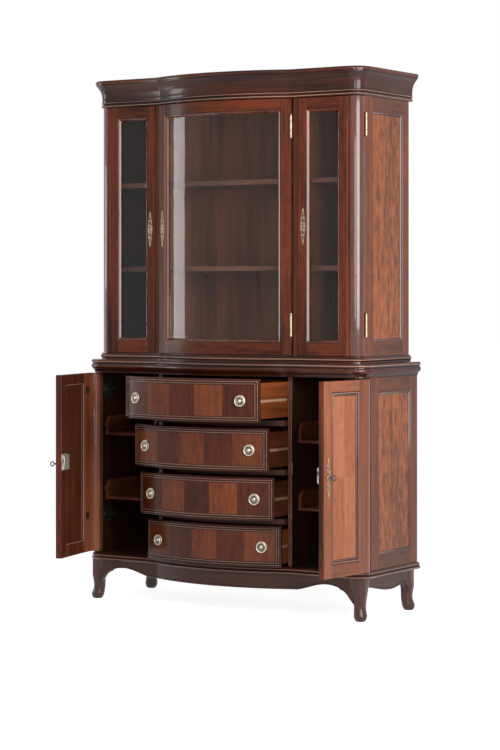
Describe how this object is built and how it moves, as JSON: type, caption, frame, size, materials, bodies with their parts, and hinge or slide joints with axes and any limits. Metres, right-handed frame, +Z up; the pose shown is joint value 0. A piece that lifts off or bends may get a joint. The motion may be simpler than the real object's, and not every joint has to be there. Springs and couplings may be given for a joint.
{
  "type": "china cabinet",
  "caption": "Tall breakfront china cabinet with glazed upper doors, bowed drawers, side doors with pull-out trays, a moulded cornice and short curved legs.",
  "frame": {"origin": "on the floor, under the middle of the whole cabinet as it stands with its doors and drawers part open", "axes": "+X to the cabinet's right as seen from the front, +Y to its back, +Z up"},
  "size_m": [1.3694, 0.729, 2.15],
  "materials": {
    "mahogany": "dark red mahogany with a satin varnish",
    "veneered_front": "banded mahogany veneer with a satin varnish",
    "drawer_wood": "stained solid wood, satin varnish",
    "interior_wood": "stained veneer, matt varnish",
    "runner_wood": "bare hardwood, waxed",
    "cabinet_glass": "clear polished glass",
    "antique_brass": "aged brass, softly polished",
    "ring_pull_brass": "pale antique brass with dark recesses",
    "black_hinge_steel": "black enamel"
  },
  "bodies": {
    "cabinet": {"aprons": "mahogany", "base_board": "mahogany", "cabriole_legs": "mahogany", "concealed_hinge_plates": "black_hinge_steel", "cornice": "mahogany", "drawer_rails": "mahogany", "fixed_brass_fittings": "antique_brass", "lower_back_panel": "interior_wood", "lower_partitions": "mahogany", "lower_sides": "mahogany", "lower_top_board": "mahogany", "shelf_pins": "antique_brass", "shelves": "interior_wood", "slide_runners": "runner_wood", "upper_back_panel": "interior_wood", "upper_base_board": "mahogany", "upper_partitions": "mahogany", "upper_sides": "mahogany", "upper_top_board": "mahogany"},
    "upper_left_door": {"upper_left_door": "mahogany", "upper_left_glass": "cabinet_glass", "upper_left_door_brass": "antique_brass"},
    "upper_right_door": {"upper_right_door": "mahogany", "upper_right_glass": "cabinet_glass", "upper_right_door_brass": "antique_brass"},
    "upper_centre_door": {"upper_centre_door": "mahogany", "upper_centre_glass": "cabinet_glass", "upper_centre_door_brass": "antique_brass"},
    "lower_left_door": {"lower_left_door": "mahogany", "lower_left_door_brass": "antique_brass", "lower_left_hinge_cups": "black_hinge_steel"},
    "lower_left_key": {"lower_left_key": "antique_brass"},
    "lower_right_door": {"lower_right_door": "mahogany", "lower_right_door_brass": "antique_brass", "lower_right_hinge_cups": "black_hinge_steel"},
    "lower_right_key": {"lower_right_key": "antique_brass"},
    "drawer_one": {"drawer_one_front": "veneered_front", "drawer_one_box": "drawer_wood", "drawer_one_pull_plates": "ring_pull_brass"},
    "drawer_one_ring_left": {"drawer_one_ring_left": "ring_pull_brass"},
    "drawer_one_ring_right": {"drawer_one_ring_right": "ring_pull_brass"},
    "drawer_two": {"drawer_two_front": "veneered_front", "drawer_two_box": "drawer_wood", "drawer_two_pull_plates": "ring_pull_brass"},
    "drawer_two_ring_left": {"drawer_two_ring_left": "ring_pull_brass"},
    "drawer_two_ring_right": {"drawer_two_ring_right": "ring_pull_brass"},
    "drawer_three": {"drawer_three_front": "veneered_front", "drawer_three_box": "drawer_wood", "drawer_three_pull_plates": "ring_pull_brass"},
    "drawer_three_ring_left": {"drawer_three_ring_left": "ring_pull_brass"},
    "drawer_three_ring_right": {"drawer_three_ring_right": "ring_pull_brass"},
    "drawer_four": {"drawer_four_front": "veneered_front", "drawer_four_box": "drawer_wood", "drawer_four_pull_plates": "ring_pull_brass"},
    "drawer_four_ring_left": {"drawer_four_ring_left": "ring_pull_brass"},
    "drawer_four_ring_right": {"drawer_four_ring_right": "ring_pull_brass"},
    "tray_left_low": {"tray_left_low": "drawer_wood"},
    "tray_left_high": {"tray_left_high": "drawer_wood"},
    "tray_right_low": {"tray_right_low": "drawer_wood"},
    "tray_right_high": {"tray_right_high": "drawer_wood"}
  },
  "joints": [
    {"name": "upper_left_door_hinge", "type": "hinge", "parent": "cabinet", "child": "upper_left_door", "pos_m": [-0.629, -0.0065, 0], "axis": [0, 0, -1], "range_deg": [0, 105]},
    {"name": "upper_right_door_hinge", "type": "hinge", "parent": "cabinet", "child": "upper_right_door", "pos_m": [0.629, -0.0065, 0], "axis": [0, 0, 1], "range_deg": [0, 105]},
    {"name": "upper_centre_door_hinge", "type": "hinge", "parent": "cabinet", "child": "upper_centre_door", "pos_m": [0.3195, -0.0623, 0], "axis": [0, 0, 1], "range_deg": [0, 95]},
    {"name": "lower_left_door_hinge", "type": "hinge", "parent": "cabinet", "child": "lower_left_door", "pos_m": [-0.646, -0.038, 0], "axis": [0, 0, -1], "range_deg": [-77, 18]},
    {"name": "lower_left_key_turn", "type": "hinge", "parent": "lower_left_door", "child": "lower_left_key", "pos_m": [-0.62034, -0.33586, 0.576], "axis": [0.9744, 0.225, 0], "range_deg": [0, 90]},
    {"name": "lower_right_door_hinge", "type": "hinge", "parent": "cabinet", "child": "lower_right_door", "pos_m": [0.646, -0.038, 0], "axis": [0, 0, 1], "range_deg": [-83.5, 11.5]},
    {"name": "lower_right_key_turn", "type": "hinge", "parent": "lower_right_door", "child": "lower_right_key", "pos_m": [0.65422, -0.33685, 0.576], "axis": [-0.9936, 0.1132, 0], "range_deg": [0, 90]},
    {"name": "drawer_one_slide", "type": "slide", "parent": "cabinet", "child": "drawer_one", "axis": [0, -1, 0], "range_m": [-0.21, 0.09]},
    {"name": "drawer_one_ring_left_swing", "type": "hinge", "parent": "drawer_one", "child": "drawer_one_ring_left", "pos_m": [-0.24841, -0.32655, 0.871], "axis": [-0.9471, 0.321, 0], "range_deg": [0, 80]},
    {"name": "drawer_one_ring_right_swing", "type": "hinge", "parent": "drawer_one", "child": "drawer_one_ring_right", "pos_m": [0.24841, -0.32655, 0.871], "axis": [-0.9471, -0.321, 0], "range_deg": [0, 80]},
    {"name": "drawer_two_slide", "type": "slide", "parent": "cabinet", "child": "drawer_two", "axis": [0, -1, 0], "range_m": [-0.145, 0.155]},
    {"name": "drawer_two_ring_left_swing", "type": "hinge", "parent": "drawer_two", "child": "drawer_two_ring_left", "pos_m": [-0.24841, -0.26155, 0.677], "axis": [-0.9471, 0.321, 0], "range_deg": [0, 80]},
    {"name": "drawer_two_ring_right_swing", "type": "hinge", "parent": "drawer_two", "child": "drawer_two_ring_right", "pos_m": [0.24841, -0.26155, 0.677], "axis": [-0.9471, -0.321, 0], "range_deg": [0, 80]},
    {"name": "drawer_three_slide", "type": "slide", "parent": "cabinet", "child": "drawer_three", "axis": [0, -1, 0], "range_m": [-0.107, 0.193]},
    {"name": "drawer_three_ring_left_swing", "type": "hinge", "parent": "drawer_three", "child": "drawer_three_ring_left", "pos_m": [-0.24841, -0.22355, 0.483], "axis": [-0.9471, 0.321, 0], "range_deg": [0, 80]},
    {"name": "drawer_three_ring_right_swing", "type": "hinge", "parent": "drawer_three", "child": "drawer_three_ring_right", "pos_m": [0.24841, -0.22355, 0.483], "axis": [-0.9471, -0.321, 0], "range_deg": [0, 80]},
    {"name": "drawer_four_slide", "type": "slide", "parent": "cabinet", "child": "drawer_four", "axis": [0, -1, 0], "range_m": [-0.054, 0.246]},
    {"name": "drawer_four_ring_left_swing", "type": "hinge", "parent": "drawer_four", "child": "drawer_four_ring_left", "pos_m": [-0.24841, -0.17055, 0.292], "axis": [-0.9471, 0.321, 0], "range_deg": [0, 80]},
    {"name": "drawer_four_ring_right_swing", "type": "hinge", "parent": "drawer_four", "child": "drawer_four_ring_right", "pos_m": [0.24841, -0.17055, 0.292], "axis": [-0.9471, -0.321, 0], "range_deg": [0, 80]},
    {"name": "tray_left_low_slide", "type": "slide", "parent": "cabinet", "child": "tray_left_low", "axis": [0, -1, 0], "range_m": [0, 0.22]},
    {"name": "tray_left_high_slide", "type": "slide", "parent": "cabinet", "child": "tray_left_high", "axis": [0, -1, 0], "range_m": [0, 0.22]},
    {"name": "tray_right_low_slide", "type": "slide", "parent": "cabinet", "child": "tray_right_low", "axis": [0, -1, 0], "range_m": [0, 0.22]},
    {"name": "tray_right_high_slide", "type": "slide", "parent": "cabinet", "child": "tray_right_high", "axis": [0, -1, 0], "range_m": [0, 0.22]}
  ]
}
